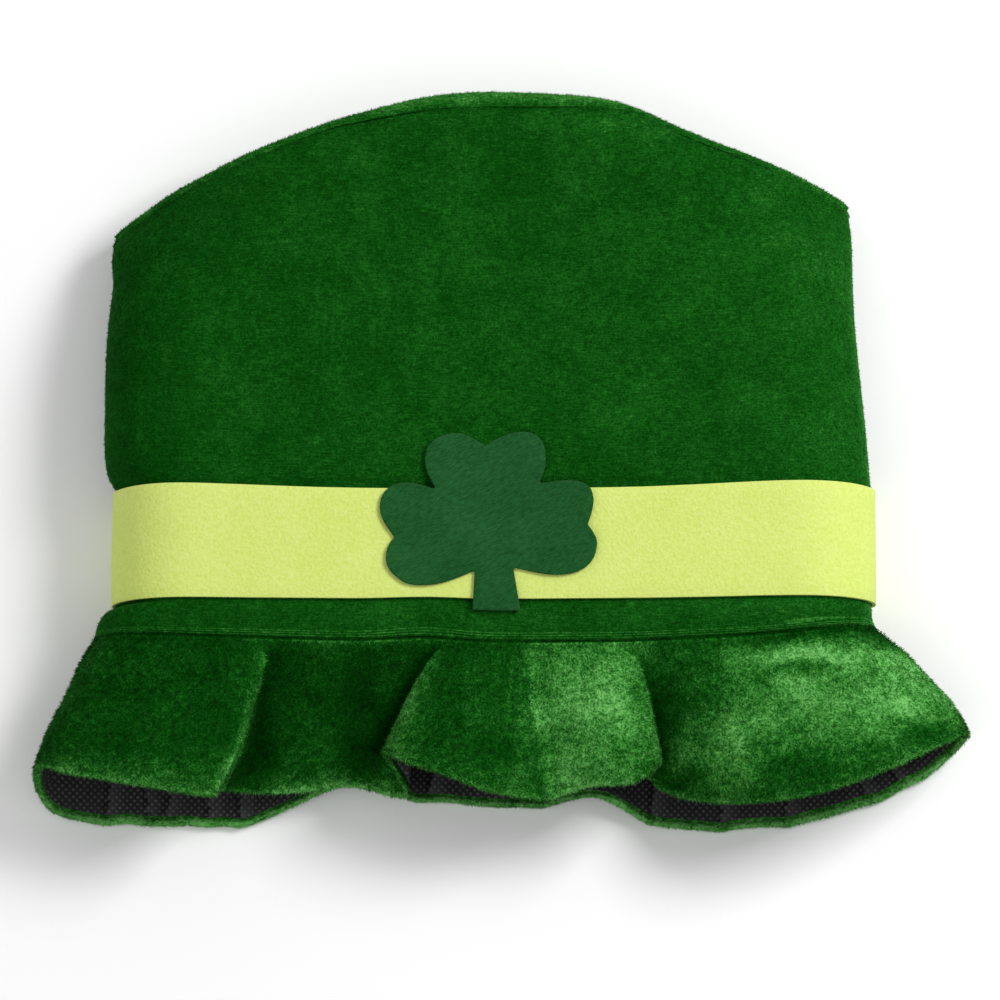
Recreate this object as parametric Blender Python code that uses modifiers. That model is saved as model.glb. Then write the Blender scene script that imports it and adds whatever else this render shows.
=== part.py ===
"""Soft leprechaun hat with a felt band and a felt shamrock, lying flattened on its back.

+Z is the front of the hat and +Y points from the brim to the top. The wall that
the hat lies on is at z = 0. Lengths are in metres.
"""

import math
from collections import namedtuple

import bmesh
import bpy
from mathutils import Vector

# Crown: a tube of velour, flattened
CROWN_WIDTH = 0.284
CROWN_LENGTH = 0.2028
CROWN_DEPTH = 0.052
CROWN_WALL = 0.002
BELLY_UP = 0.44
LEFT_CORNER = 0.69
RIGHT_CORNER = 0.768

# Top panel: an oval of velour, folded in between the two walls
TOP_LIP = 0.007
TOP_COLLAR = 0.0025
TUCK_DEPTH = 0.030
LIP_AT_ENDS = 0.15
LIP_REACH = 0.4

# Band
BAND_UP = 0.015
BAND_WIDTH = 0.042
BAND_THICKNESS = 0.0015

# Shamrock
SHAMROCK_WIDTH = 0.0806
SHAMROCK_HEIGHT = 0.0672
SHAMROCK_THICKNESS = 0.0012
SHAMROCK_ACROSS = 0.0017
STEM_BELOW_BAND = 0.0045

# Brim and its lining
BRIM_LENGTH = 0.060
BRIM_WALL = 0.0022
BRIM_COLLAR = 0.0015
HEM_THICKNESS = 0.0030
HEM_TURN = 0.0028
HEM_RISE = 0.0006
LINING_THICKNESS = 0.001

# Clearances: between cloth and cloth, across a sewn seam, along the band's edges, and
# between the lining's edge and the turned hem
CLOTH_GAP = 0.0003
SEAM_GAP = 0.0006
EDGE_GAP = 0.0006
LINING_GAP = 0.00045
FLOOR_GAP = 0.0002

QUARTER_COLUMNS = 16

# Rise of the top's outline from each corner to the middle: share of the half width, share of the rise
LEFT_DOME = ((0, 1), (0.15, 0.965), (0.35, 0.83), (0.55, 0.65), (0.8, 0.395), (1, 0))
RIGHT_DOME = ((0, 1), (0.15, 0.985), (0.35, 0.92), (0.55, 0.67), (0.8, 0.345), (1, 0))

# Fold of the top panel from the front seam to the back seam:
# share of the lip, share of the tuck, share of the way down
TOP_FOLD = (
    (0.74, 0, 0.09),
    (0.94, 0, 0.14),
    (1.00, 0, 0.20),
    (0.80, 0, 0.28),
    (0.15, 0.15, 0.36),
    (0, 0.60, 0.43),
    (0, 1.00, 0.50),
    (0, 0.60, 0.57),
    (0.15, 0.15, 0.64),
    (0.80, 0, 0.72),
    (1.00, 0, 0.80),
    (0.94, 0, 0.86),
    (0.74, 0, 0.91),
)

# Edge of the brim, once round it. The first column is the place on the brim seam in
# quarters of a turn: 0 the right side, 1 the middle of the front, 2 the left side and
# 3 the middle of the back. Then how far the edge lies out to the right of that place
# and how far below it, in brim lengths, its height as a share of the crown's depth,
# and how far the cloth between the two puffs out and bows to the right, in brim lengths.
HEM = (
    (0.00, 0.61, 0.69, 0.38, 0.16, 0),
    (0.06, 0.58, 0.73, 0.62, 0.15, 0),
    (0.15, 0.50, 0.82, 0.81, 0.12, 0),
    (0.26, 0.43, 0.94, 0.92, 0.06, 0),
    (0.37, 0.36, 1.04, 0.94, 0.04, 0),
    (0.47, 0.27, 1.06, 0.85, 0.03, 0),
    (0.56, 0.20, 1.01, 0.64, 0.01, 0),
    (0.605, 0.14, 0.94, 0.45, 0, 0.04),
    (0.64, 0.08, 0.88, 0.38, 0, 0.06),
    (0.662, 0.15, 0.80, 0.45, 0, 0.07),
    (0.683, 0.27, 0.745, 0.63, 0, 0.07),
    (0.70, 0.27, 0.80, 0.81, 0, 0.07),
    (0.72, 0.20, 0.90, 0.89, 0.02, 0.06),
    (0.745, 0.13, 0.92, 0.90, 0.04, 0.03),
    (0.81, 0.07, 0.94, 0.81, 0.02, 0),
    (0.865, 0.05, 0.99, 0.75, 0, 0),
    (0.90, -0.02, 0.98, 0.85, 0.02, 0),
    (0.95, -0.12, 0.95, 0.92, 0.04, 0),
    (1.00, -0.23, 0.85, 0.94, 0.04, -0.02),
    (1.045, -0.34, 0.77, 0.92, 0.02, -0.04),
    (1.07, -0.41, 0.70, 0.83, 0.01, -0.05),
    (1.09, -0.41, 0.68, 0.67, 0, -0.05),
    (1.11, -0.30, 0.73, 0.52, 0, -0.05),
    (1.13, -0.16, 0.85, 0.39, 0, -0.04),
    (1.15, -0.10, 0.92, 0.28, 0, -0.03),
    (1.18, -0.12, 0.90, 0.25, 0, 0),
    (1.27, -0.13, 0.86, 0.27, 0.01, 0),
    (1.35, -0.18, 0.91, 0.29, 0.01, 0),
    (1.43, -0.23, 0.92, 0.33, 0, 0.02),
    (1.475, -0.35, 0.92, 0.39, 0, 0.04),
    (1.49, -0.36, 0.93, 0.55, 0, 0.05),
    (1.505, -0.31, 0.97, 0.74, 0, 0.05),
    (1.523, -0.26, 1.00, 0.90, 0.01, 0.05),
    (1.58, -0.22, 1.00, 0.95, 0.03, 0.03),
    (1.69, -0.22, 0.96, 0.96, 0.03, 0),
    (1.79, -0.26, 0.92, 0.92, 0.03, 0),
    (1.87, -0.34, 0.87, 0.83, 0.04, 0),
    (1.93, -0.38, 0.82, 0.63, 0.05, 0),
    (2.00, -0.39, 0.86, 0.42, 0.06, 0),
    (2.03, -0.39, 0.94, 0.19, 0.05, 0),
    (2.07, -0.36, 1.03, 0.07, 0.02, 0),
    (2.14, -0.33, 1.09, 0.02, 0, 0),
    (2.26, -0.29, 1.09, 0.01, 0, 0),
    (2.44, -0.22, 1.09, 0.01, 0, 0),
    (2.53, -0.20, 1.05, 0.01, 0, 0),
    (2.64, -0.21, 0.95, 0.04, 0, 0),
    (2.71, -0.17, 0.85, 0.09, 0, 0),
    (2.77, -0.10, 0.83, 0.08, 0, 0),
    (2.83, -0.02, 0.89, 0.03, 0, 0),
    (2.90, 0.06, 0.93, 0.01, 0, 0),
    (3.03, 0.10, 0.96, 0.01, 0, 0),
    (3.13, 0.15, 0.94, 0.08, 0, 0),
    (3.19, 0.19, 0.93, 0.17, 0, 0),
    (3.25, 0.21, 0.98, 0.12, 0, 0),
    (3.32, 0.26, 1.05, 0.04, 0, 0),
    (3.45, 0.32, 1.12, 0.01, 0, 0),
    (3.59, 0.41, 1.12, 0.01, 0, 0),
    (3.71, 0.50, 1.04, 0.01, 0, 0),
    (3.79, 0.57, 0.94, 0.02, 0, 0),
    (3.88, 0.61, 0.82, 0.05, 0.05, 0),
    (3.94, 0.63, 0.72, 0.15, 0.11, 0),
)
LONG_STEP = 0.045
BRIM_ROWS = (0.15, 0.36, 0.58, 0.80)
SWELL_RISE = 0.45

# Shamrock outline, once round it: share of the width from the middle, share of the
# height from the foot of the stem, and whether the outline has a corner there
SHAMROCK = (
    (-0.074, 0, True),
    (-0.063, 0.225, True),
    (-0.175, 0.169, False),
    (-0.244, 0.146, False),
    (-0.306, 0.139, False),
    (-0.367, 0.146, False),
    (-0.421, 0.183, False),
    (-0.464, 0.243, False),
    (-0.473, 0.299, False),
    (-0.464, 0.355, False),
    (-0.434, 0.411, True),
    (-0.475, 0.480, False),
    (-0.498, 0.541, False),
    (-0.500, 0.606, False),
    (-0.483, 0.657, False),
    (-0.445, 0.699, False),
    (-0.383, 0.716, False),
    (-0.321, 0.708, False),
    (-0.240, 0.676, True),
    (-0.283, 0.773, False),
    (-0.294, 0.857, False),
    (-0.279, 0.922, False),
    (-0.229, 0.973, False),
    (-0.167, 0.994, False),
    (-0.113, 0.989, False),
    (-0.017, 0.924, True),
    (0.080, 0.985, False),
    (0.141, 1.000, False),
    (0.203, 0.994, False),
    (0.246, 0.950, False),
    (0.263, 0.885, False),
    (0.261, 0.801, False),
    (0.232, 0.710, True),
    (0.280, 0.719, False),
    (0.342, 0.727, False),
    (0.411, 0.722, False),
    (0.458, 0.699, False),
    (0.481, 0.652, False),
    (0.483, 0.578, False),
    (0.458, 0.478, True),
    (0.498, 0.401, False),
    (0.500, 0.355, False),
    (0.485, 0.290, False),
    (0.442, 0.234, False),
    (0.380, 0.206, False),
    (0.311, 0.199, False),
    (0.226, 0.211, False),
    (0.114, 0.243, True),
    (0.148, 0, True),
)

VELOUR = (0.006, 0.074, 0.006, 1)
BRIM_VELOUR = (0.012, 0.110, 0.010, 1)
BAND_FELT = (0.665, 0.791, 0.195, 1)
SHAMROCK_FELT = (0.014, 0.093, 0.022, 1)
LINING_CLOTH = (0.012, 0.013, 0.013, 1)

# One ring round the crown. middle, left and right are how far up it lies there,
# half_left and half_right its half widths, front and back the heights of its flat
# walls, sag the hollow in the front one, shoulder and heel the shares of the half
# width that the round corners take up, and lip how far it stays behind the outline.
Ring = namedtuple(
    "Ring", "middle left right half_left half_right front back sag side shoulder heel lip"
)


def clear_scene():
    for obj in list(bpy.data.objects):
        bpy.data.objects.remove(obj, do_unlink=True)


def new_collection(name):
    collection = bpy.data.collections.new(name)
    bpy.context.scene.collection.children.link(collection)
    return collection


def material(name, color, roughness):
    mat = bpy.data.materials.new(name)
    mat.use_nodes = True
    shader = mat.node_tree.nodes["Principled BSDF"]
    shader.inputs["Base Color"].default_value = color
    shader.inputs["Roughness"].default_value = roughness
    shader.inputs["Metallic"].default_value = 0
    return mat


def object_from(name, bm, collection, mat, parent):
    mesh = bpy.data.meshes.new(name)
    bm.to_mesh(mesh)
    bm.free()
    mesh.shade_smooth()
    mesh.set_sharp_from_angle(angle=math.radians(60))
    mesh.materials.append(mat)
    obj = bpy.data.objects.new(name, mesh)
    obj.parent = parent
    collection.objects.link(obj)
    return obj


def solidify(obj, thickness, offset):
    shell = obj.modifiers.new("Cloth", "SOLIDIFY")
    shell.thickness = thickness
    shell.offset = offset
    return shell


def read_table(table, x):
    """Value at x of a smooth curve through the (x, value) pairs of a table."""
    last = len(table) - 1
    i = 0
    while i < last - 1 and table[i + 1][0] < x:
        i += 1
    before = table[max(i - 1, 0)]
    start = table[i]
    end = table[i + 1]
    after = table[min(i + 2, last)]
    width = end[0] - start[0]
    t = (x - start[0]) / width
    slope_in = (end[1] - before[1]) / (end[0] - before[0]) * width
    slope_out = (after[1] - start[1]) / (after[0] - start[0]) * width
    return (
        (2 * t**3 - 3 * t**2 + 1) * start[1]
        + (t**3 - 2 * t**2 + t) * slope_in
        + (3 * t**2 - 2 * t**3) * end[1]
        + (t**3 - t**2) * slope_out
    )


def blend(a, b, along, shape):
    """Ring between two others: places by the one share, the section's shape by the other."""
    placed = ("middle", "left", "right", "half_left", "half_right", "lip")
    values = []
    for field, low, high in zip(Ring._fields, a, b):
        share = along if field in placed else shape
        values.append(low + (high - low) * share)
    return Ring(*values)


def sag_at(ring, x):
    half = ring.half_right if x > 0 else ring.half_left
    return ring.sag * max(0, 1 - (x / half) ** 2) ** 2


def quarter(ring, right, front):
    """Points (x, z) from the ring's side round a corner and along the flat to the centre line."""
    half = ring.half_right if right else ring.half_left
    flat = ring.front if front else ring.back
    middle = ring.back + (ring.front - ring.back) * ring.side
    reach = half * (ring.shoulder if front else ring.heel)
    points = []
    for i in range(25):
        turn = math.pi / 2 * i / 24
        points.append((half - reach * (1 - math.cos(turn)), middle + (flat - middle) * math.sin(turn)))
    for i in range(1, 17):
        points.append(((half - reach) * (1 - i / 16), flat))
    side = 1 if right else -1
    if front:
        points = [(x, z - sag_at(ring, side * x)) for x, z in points]
    return [(side * x, z) for x, z in points]


def along(points, share):
    """Point at a share of a polyline's length."""
    lengths = [math.dist(a, b) for a, b in zip(points, points[1:])]
    left = share * sum(lengths)
    for a, b, length in zip(points, points[1:], lengths):
        if left <= length:
            t = left / length
            return tuple(p + (q - p) * t for p, q in zip(a, b))
        left -= length
    return points[-1]


def top_lip(across):
    """How far the top panel stands past its seam, widest in the middle of the hat."""
    least = TOP_COLLAR + LIP_AT_ENDS * TOP_LIP
    return least + (TOP_LIP - least) * max(0, 1 - (across / LIP_REACH) ** 2)


def ring_point(ring, turn):
    """Point of the ring at a place in quarters of a turn from its right side."""
    turn %= 4
    right = turn < 1 or turn > 3
    front = turn < 2
    share = (turn, 2 - turn, turn - 2, 4 - turn)[int(turn)]
    x, z = along(quarter(ring, right, front), share)
    half = ring.half_right if right else ring.half_left
    across = min(1, abs(x) / half)
    side = ring.right if right else ring.left
    rise = read_table(RIGHT_DOME if right else LEFT_DOME, across)
    y = side + (ring.middle - side) * rise - ring.lip * top_lip(across)
    return Vector((x, y, z))


def crown_rings():
    """Rings of the crown from the brim seam up to the top seam."""
    half = CROWN_WIDTH / 2
    band_top = BAND_UP + BAND_WIDTH
    upper = CROWN_LENGTH - band_top
    squeeze = BAND_THICKNESS + CLOTH_GAP
    sag = 0.096 * CROWN_DEPTH
    seam = Ring(
        0, 0.25 * BAND_UP, 0.53 * BAND_UP, 1.034 * half, 1.022 * half,
        0.92 * CROWN_DEPTH, 0.012 * CROWN_DEPTH, 0.6 * sag, 0.42, 0.20, 0.17, 0,
    )
    below = Ring(
        0.8 * BAND_UP, 0.8 * BAND_UP, 0.8 * BAND_UP, 1.018 * half, 1.027 * half,
        CROWN_DEPTH, FLOOR_GAP, sag, 0.42, 0.20, 0.17, 0,
    )
    edge = BAND_UP - EDGE_GAP
    under_band = Ring(
        edge, edge, edge, 0.970 * half, 1.027 * half,
        CROWN_DEPTH - squeeze, squeeze + FLOOR_GAP, sag, 0.42, 0.20, 0.17, 0,
    )
    edge = band_top + EDGE_GAP
    over_band = under_band._replace(middle=edge, left=edge, right=edge)
    edge = band_top + 0.035 * upper
    above = Ring(
        edge, edge, edge, 0.998 * half, 1.023 * half,
        CROWN_DEPTH, 0, sag, 0.42, 0.20, 0.17, 0,
    )
    edge = band_top + 0.13 * upper
    bulge = Ring(
        edge, edge, edge, 1.008 * half, 1.018 * half,
        1.006 * CROWN_DEPTH, 0, 1.12 * sag, 0.42, 0.21, 0.17, 0,
    )
    edge = band_top + BELLY_UP * upper
    belly = Ring(
        edge, edge, edge, 0.993 * half, 0.988 * half,
        0.99 * CROWN_DEPTH, 0, 1.2 * sag, 0.42, 0.22, 0.17, 0,
    )
    outline = CROWN_LENGTH + TOP_LIP
    left = band_top + LEFT_CORNER * upper
    right = band_top + RIGHT_CORNER * upper
    top = Ring(
        outline, left, right, 0.978 * half, 0.970 * half,
        0.85 * CROWN_DEPTH, 0.008 * CROWN_DEPTH, 0.6 * sag, 0.36, 0.85, 0.50, 1,
    )
    rings = [seam, below, under_band, over_band, above, bulge, belly]
    for share in (0.34, 0.65, 0.88):
        rings.append(blend(belly, top, share, share**2))
    rings.append(top)
    return rings


def turns(count):
    return [4 * i / count for i in range(count)]


def loft(bm, rows, closed=True):
    """Quads between rows of vertices that run once round the hat, facing outwards."""
    for low, high in zip(rows, rows[1:]):
        count = len(low)
        for i in range(count if closed else count - 1):
            j = (i + 1) % count
            bm.faces.new((low[i], low[j], high[j], high[i]))


def vertex_rows(bm, rings):
    return [[bm.verts.new(p) for p in ring] for ring in rings]


def ring_points(ring):
    return [ring_point(ring, turn) for turn in turns(4 * QUARTER_COLUMNS)]


def make_crown_side(collection, parent):
    bm = bmesh.new()
    rings = [ring_points(ring) for ring in crown_rings()]
    loft(bm, vertex_rows(bm, rings[::-1]))
    bmesh.ops.recalc_face_normals(bm, faces=bm.faces)
    obj = object_from("crown_side", bm, collection, material("crown_velour", VELOUR, 0.9), parent)
    solidify(obj, CROWN_WALL, -1)


def fold_point(front, back, outward, lip, depth, fold):
    """Point of the top panel between its front and back seam."""
    out_share, tuck_share, down = fold
    place = front.lerp(back, down)
    plain = max(0, math.sin(math.pi * down)) ** 0.6
    place += outward * lip * (plain + (out_share - plain) * depth)
    place.y -= TUCK_DEPTH * tuck_share * depth
    return place


def make_crown_top(collection, parent):
    rings = crown_rings()
    under = ring_points(rings[-2])
    seam = ring_points(rings[-1])
    count = len(seam)
    start = []
    collar = []
    for low, high in zip(under, seam):
        way = (high - low).normalized()
        start.append(high + way * SEAM_GAP)
        collar.append(high + way * (SEAM_GAP + TOP_COLLAR))
    bm = bmesh.new()
    first, second = vertex_rows(bm, [start, collar])
    loft(bm, [second, first])
    strips = []
    open_height = 0.40 * CROWN_DEPTH
    full_height = 0.80 * CROWN_DEPTH
    for j in range(1, count // 2):
        front = second[j]
        back = second[count - j]
        edge = second[j - 1].co - second[j + 1].co
        outward = Vector((-edge.y, edge.x, 0)).normalized()
        half = rings[-1].half_right if front.co.x > 0 else rings[-1].half_left
        lip = top_lip(min(1, abs(front.co.x) / half)) - TOP_COLLAR
        height = front.co.z - back.co.z
        depth = min(1, max(0, (height - open_height) / (full_height - open_height)))
        strip = [front]
        for fold in TOP_FOLD:
            strip.append(bm.verts.new(fold_point(front.co, back.co, outward, lip, depth, fold)))
        strip.append(back)
        strips.append(strip)
    for right, left in zip(strips, strips[1:]):
        for k in range(len(right) - 1):
            bm.faces.new((right[k], left[k], left[k + 1], right[k + 1]))
    for corner, strip in ((second[0], strips[0]), (second[count // 2], strips[-1])):
        for k in range(len(strip) - 1):
            bm.faces.new((corner, strip[k], strip[k + 1]))
    bmesh.ops.recalc_face_normals(bm, faces=bm.faces)
    obj = object_from("crown_top", bm, collection, material("top_velour", VELOUR, 0.9), parent)
    solidify(obj, CROWN_WALL, -1)


def move_along_normals(bm, distance):
    bm.normal_update()
    moves = [(v, v.normal * distance) for v in bm.verts]
    for vertex, move in moves:
        vertex.co += move


def make_band(collection, parent):
    rings = crown_rings()
    low = rings[2]._replace(middle=BAND_UP, left=BAND_UP, right=BAND_UP)
    edge = BAND_UP + BAND_WIDTH
    high = low._replace(middle=edge, left=edge, right=edge)
    bm = bmesh.new()
    loft(bm, vertex_rows(bm, [ring_points(high), ring_points(low)]))
    move_along_normals(bm, CLOTH_GAP)
    obj = object_from("hat_band", bm, collection, material("band_felt", BAND_FELT, 0.95), parent)
    solidify(obj, BAND_THICKNESS, 1)


def shamrock_cutter(collection, parent, foot):
    """Upright prism with the shamrock's outline, taller than the crown."""
    curve = bpy.data.curves.new("shamrock_outline", "CURVE")
    curve.dimensions = "2D"
    curve.fill_mode = "BOTH"
    curve.extrude = CROWN_DEPTH
    curve.resolution_u = 2
    spline = curve.splines.new("BEZIER")
    spline.bezier_points.add(len(SHAMROCK) - 1)
    for point, (across, up, corner) in zip(spline.bezier_points, SHAMROCK):
        place = (SHAMROCK_ACROSS + across * SHAMROCK_WIDTH, foot + up * SHAMROCK_HEIGHT, 0)
        point.co = place
        point.handle_left_type = "VECTOR" if corner else "AUTO"
        point.handle_right_type = "VECTOR" if corner else "AUTO"
    spline.use_cyclic_u = True
    outline = bpy.data.objects.new("shamrock_outline", curve)
    collection.objects.link(outline)
    bpy.context.view_layer.update()
    evaluated = outline.evaluated_get(bpy.context.evaluated_depsgraph_get())
    mesh = bpy.data.meshes.new_from_object(evaluated)
    bm = bmesh.new()
    bm.from_mesh(mesh)
    bmesh.ops.remove_doubles(bm, verts=bm.verts, dist=1e-6)
    bmesh.ops.recalc_face_normals(bm, faces=bm.faces)
    bm.to_mesh(mesh)
    bm.free()
    cutter = bpy.data.objects.new("shamrock_cutter", mesh)
    cutter.matrix_world = outline.matrix_world
    cutter.parent = parent
    cutter.hide_render = True
    cutter.display_type = "WIRE"
    collection.objects.link(cutter)
    bpy.data.objects.remove(outline, do_unlink=True)
    return cutter


def make_shamrock(collection, cutters, parent):
    """Felt sheet that follows the front of the band, cut to the outline."""
    ring = crown_rings()[2]
    front = ring.front + BAND_THICKNESS + 2 * CLOTH_GAP
    foot = BAND_UP - STEM_BELOW_BAND
    margin = 0.1 * SHAMROCK_WIDTH
    columns = 12
    bm = bmesh.new()
    rows = []
    for y in (foot - margin, foot + SHAMROCK_HEIGHT + margin):
        row = []
        for i in range(columns + 1):
            x = SHAMROCK_ACROSS + (i / columns - 0.5) * (SHAMROCK_WIDTH + 2 * margin)
            row.append((x, y, front - sag_at(ring, x)))
        rows.append(row)
    loft(bm, vertex_rows(bm, rows), closed=False)
    mat = material("shamrock_felt", SHAMROCK_FELT, 0.95)
    obj = object_from("shamrock", bm, collection, mat, parent)
    solidify(obj, SHAMROCK_THICKNESS, 1)
    cut = obj.modifiers.new("Outline", "BOOLEAN")
    cut.operation = "INTERSECT"
    cut.solver = "EXACT"
    cut.object = shamrock_cutter(cutters, parent, foot)


def hem_stations():
    """The edge's stations, with one more half way along each long stretch between two."""
    stations = []
    count = len(HEM)
    for i in range(count):
        near = [list(HEM[(i + k) % count]) for k in (-1, 0, 1, 2)]
        for station in near:
            if station[0] - near[1][0] > 2:
                station[0] -= 4
            if near[1][0] - station[0] > 2:
                station[0] += 4
        stations.append(HEM[i])
        if near[2][0] - near[1][0] >= LONG_STEP:
            before, start, end, after = near
            stations.append(
                tuple((9 * (b + c) - a - d) / 16 for a, b, c, d in zip(before, start, end, after))
            )
    return stations


def swell_at(share):
    """Fullness of the cloth at a share of the way from the seam to the edge, 1 at its fullest."""
    fullest = SWELL_RISE / (1 + SWELL_RISE)
    return (share / fullest) ** SWELL_RISE * (1 - share) / (1 - fullest)


def brim_rows(shares):
    """Points of the brim's outer face: the seam, its collar and then one row for each share."""
    seam_ring, crown_ring = crown_rings()[:2]
    stations = hem_stations()
    rows = [[], []] + [[] for _ in shares]
    aside = Vector((1, 0, 0))
    for turn, out, down, height, puff, bow in stations:
        seam = ring_point(seam_ring, turn)
        way = (seam - ring_point(crown_ring, turn)).normalized()
        start = seam + way * SEAM_GAP
        base = start + way * BRIM_COLLAR
        edge = Vector((
            seam.x + out * BRIM_LENGTH,
            seam.y - down * BRIM_LENGTH,
            max(height * CROWN_DEPTH, FLOOR_GAP),
        ))
        ahead = ring_point(seam_ring, turn + 0.02) - ring_point(seam_ring, turn - 0.02)
        outward = Vector((ahead.z, 0, -ahead.x)).normalized()
        rows[0].append(start)
        rows[1].append(base)
        for row, share in zip(rows[2:], shares):
            swell = swell_at(share) * BRIM_LENGTH
            row.append(base.lerp(edge, share) + (outward * puff + aside * bow) * swell)
    return rows


def hem_shares():
    """Shares of the brim where the lining ends, where the turned hem starts and where it is full."""
    end = 1 - HEM_TURN / BRIM_LENGTH
    start = end + LINING_GAP / BRIM_LENGTH
    return end, start, start + HEM_RISE / BRIM_LENGTH


def brim_surface():
    end, start, full = hem_shares()
    shares = [share * end for share in BRIM_ROWS]
    bm = bmesh.new()
    rows = vertex_rows(bm, brim_rows(shares + [end, start, full, 1]))
    loft(bm, rows)
    bmesh.ops.triangulate(bm, faces=bm.faces, quad_method="FIXED")
    bmesh.ops.recalc_face_normals(bm, faces=bm.faces)
    bm.verts.index_update()
    return bm, [[v.index for v in row] for row in rows]


def make_brim(collection, parent):
    bm, rows = brim_surface()
    mat = material("brim_velour", BRIM_VELOUR, 0.9)
    obj = object_from("brim", bm, collection, mat, parent)
    shell = solidify(obj, HEM_THICKNESS, -1)
    group = obj.vertex_groups.new(name="thickness")
    for row in rows[:-2]:
        group.add(row, BRIM_WALL / HEM_THICKNESS, "REPLACE")
    for row in rows[-2:]:
        group.add(row, 1, "REPLACE")
    shell.vertex_group = group.name


def make_lining(collection, parent):
    """The brim's face moved in past its wall, without the collar and the turned hem."""
    bm, rows = brim_surface()
    move_along_normals(bm, -(BRIM_WALL + CLOTH_GAP))
    bm.verts.ensure_lookup_table()
    spare = [bm.verts[i] for row in [rows[0]] + rows[-3:] for i in row]
    bmesh.ops.delete(bm, geom=spare, context="VERTS")
    mat = material("lining_cloth", LINING_CLOTH, 0.8)
    obj = object_from("brim_lining", bm, collection, mat, parent)
    solidify(obj, LINING_THICKNESS, -1)


def centre_on_floor(parent):
    """Move the hat so that the middle of its box is over the origin, resting at z = 0."""
    bpy.context.view_layer.update()
    depsgraph = bpy.context.evaluated_depsgraph_get()
    corners = []
    for obj in parent.children:
        if obj.hide_render:
            continue
        evaluated = obj.evaluated_get(depsgraph)
        corners += [obj.matrix_world @ Vector(corner) for corner in evaluated.bound_box]
    low = [min(corner[i] for corner in corners) for i in range(3)]
    high = [max(corner[i] for corner in corners) for i in range(3)]
    parent.location = (-(low[0] + high[0]) / 2, -(low[1] + high[1]) / 2, -low[2])


def main():
    clear_scene()
    hat = new_collection("leprechaun_hat")
    cutters = new_collection("cutters")
    frame = bpy.data.objects.new("hat_frame", None)
    hat.objects.link(frame)
    make_crown_side(hat, frame)
    make_crown_top(hat, frame)
    make_band(hat, frame)
    make_shamrock(hat, cutters, frame)
    make_brim(hat, frame)
    make_lining(hat, frame)
    centre_on_floor(frame)


main()
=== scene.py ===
"""Leprechaun hat of green velour, with a felt band and a felt shamrock, lying flattened on its back."""

import math

import bpy
import numpy as np
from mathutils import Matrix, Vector, noise
from mathutils.bvhtree import BVHTree


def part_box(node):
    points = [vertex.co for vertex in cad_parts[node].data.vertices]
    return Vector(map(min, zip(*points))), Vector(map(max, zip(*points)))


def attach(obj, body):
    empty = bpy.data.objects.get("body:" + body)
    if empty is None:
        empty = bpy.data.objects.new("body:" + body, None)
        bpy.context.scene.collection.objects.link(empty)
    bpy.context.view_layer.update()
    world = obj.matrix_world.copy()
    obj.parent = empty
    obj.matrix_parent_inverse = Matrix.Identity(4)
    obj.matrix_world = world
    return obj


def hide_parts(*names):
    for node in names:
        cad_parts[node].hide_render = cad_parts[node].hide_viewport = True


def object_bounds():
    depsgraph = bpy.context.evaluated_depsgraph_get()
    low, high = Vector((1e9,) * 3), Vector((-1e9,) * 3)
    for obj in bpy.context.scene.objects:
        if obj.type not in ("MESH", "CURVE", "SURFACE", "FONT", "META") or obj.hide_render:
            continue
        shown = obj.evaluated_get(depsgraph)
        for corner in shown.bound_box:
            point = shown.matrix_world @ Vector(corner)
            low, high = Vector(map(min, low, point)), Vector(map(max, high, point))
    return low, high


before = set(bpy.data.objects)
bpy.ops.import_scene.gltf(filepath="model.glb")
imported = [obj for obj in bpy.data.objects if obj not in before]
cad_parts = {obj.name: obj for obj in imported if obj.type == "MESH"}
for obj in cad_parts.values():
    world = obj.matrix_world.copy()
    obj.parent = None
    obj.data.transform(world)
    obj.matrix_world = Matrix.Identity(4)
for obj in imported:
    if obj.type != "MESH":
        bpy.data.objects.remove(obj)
cad_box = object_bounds()

# Crown wall
# A tube of foam-backed velour, cut in one piece, that stands between the brim seam and the
# top seam. It lies flattened on its back, with soft hollows and brushed marks in its pile,
# painted shade down its left side and painted light rising towards its right side.
WELD = 1e-5
QUAD_ANGLE = math.radians(50)
CROWN_FINENESS = 2
SWELL_SCALE = 32
GRAIN_SCALE = 140
GRAIN_SHIFT = Vector((5, 2, 9))
SEAM_REACH = 0.0012
SEAM_CREASE = 0.9
SEAM_CLOSED = 0.44
STEP_REACH = 0.0013
LEVEL_PART = 3
CORNER_FROM = 0.124
CORNER_FADE = 0.008
CORNER_EASE = 0.0009
HELD_HALF = 0.024
HELD_FADE = 0.012
HOLLOW_ENDS = 6
SIDE_TURN = 0.3

# Velour from the dark depth of its pile to its brushed tips
PILE_COLOURS = (
    (0.00, (0.0002, 0.0200, 0.0002, 1)),
    (0.30, (0.0022, 0.0530, 0.0024, 1)),
    (0.50, (0.0085, 0.1000, 0.0080, 1)),
    (0.75, (0.0480, 0.2400, 0.0350, 1)),
    (1.00, (0.1500, 0.4600, 0.1150, 1)),
)
PATCH_SCALE = 95
CLUMP_SCALE = 460
GRAIN_OF_PILE = 1300
ROWS_OF_KNIT = (260, 1900, 1900)
VELOUR_FINISH = {
    "Roughness": 0.9,
    "Specular IOR Level": 0.02,
    "Sheen Weight": 0.16,
    "Sheen Roughness": 0.3,
    "Sheen Tint": (0.10, 0.60, 0.08, 1),
}
MOTTLE_LEAST = 0.7
MOTTLE_BY_LAY = 0.8
CROWN_LAY = 0.34
CROWN_PAINTED_LIGHT_RISE = 0.03
CROWN_LAY_DRIFT = 0.05
CROWN_DRIFT_SCALE = 45
LINED_LAY = 0.16
RIGHT_SIDE_PAINTED_LIGHT = 0.28
RIB_PITCH = 0.00062
RIB_LIGHT = 0.13
RIB_RISE = 0.08
RIBBED_STRIP = 0.0024
RIBBED_FROM = 0.02

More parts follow.
